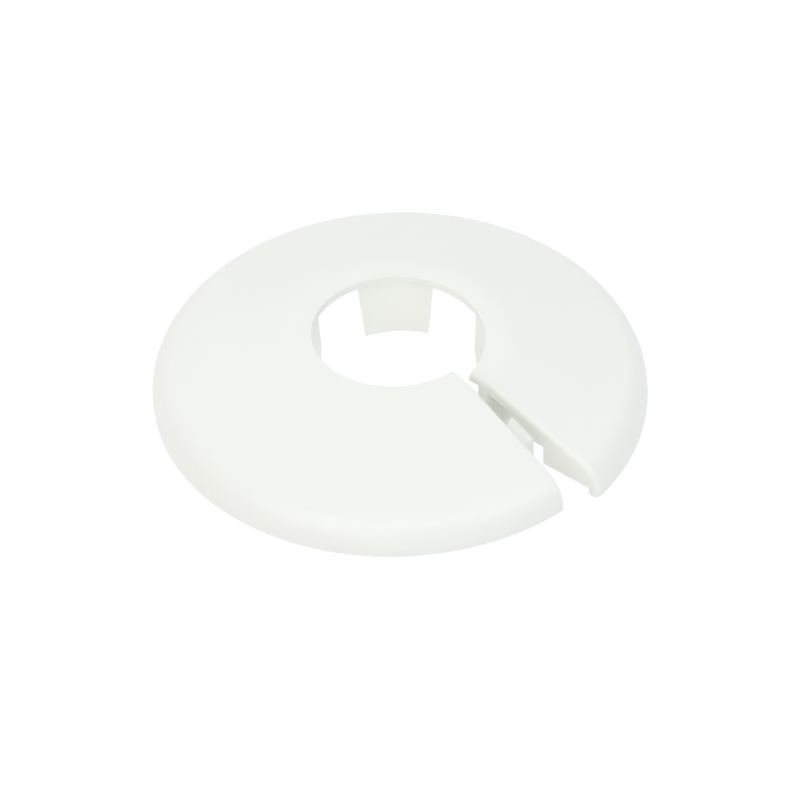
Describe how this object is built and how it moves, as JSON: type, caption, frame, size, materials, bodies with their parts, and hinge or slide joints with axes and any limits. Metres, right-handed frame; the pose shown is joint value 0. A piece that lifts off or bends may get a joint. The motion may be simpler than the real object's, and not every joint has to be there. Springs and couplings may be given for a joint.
{
  "type": "radiator pipe collar",
  "caption": "Round split cover collar for a heating pipe: a hollow domed ring whose lugs grip the pipe, slit so that it springs open and closed by a tab and socket.",
  "frame": {"origin": "on the pipe's axis, at the height of the lowest point of the rim", "axes": "+Z along the pipe, from the hollow side to the crowned side; a gripping lug on each of +X, +Y, -X and -Y"},
  "size_m": [0.065, 0.065, 0.0126],
  "materials": {
    "white_plastic": "satin, as moulded"
  },
  "bodies": {
    "root": {"pipe_collar": "white_plastic"}
  },
  "joints": []
}
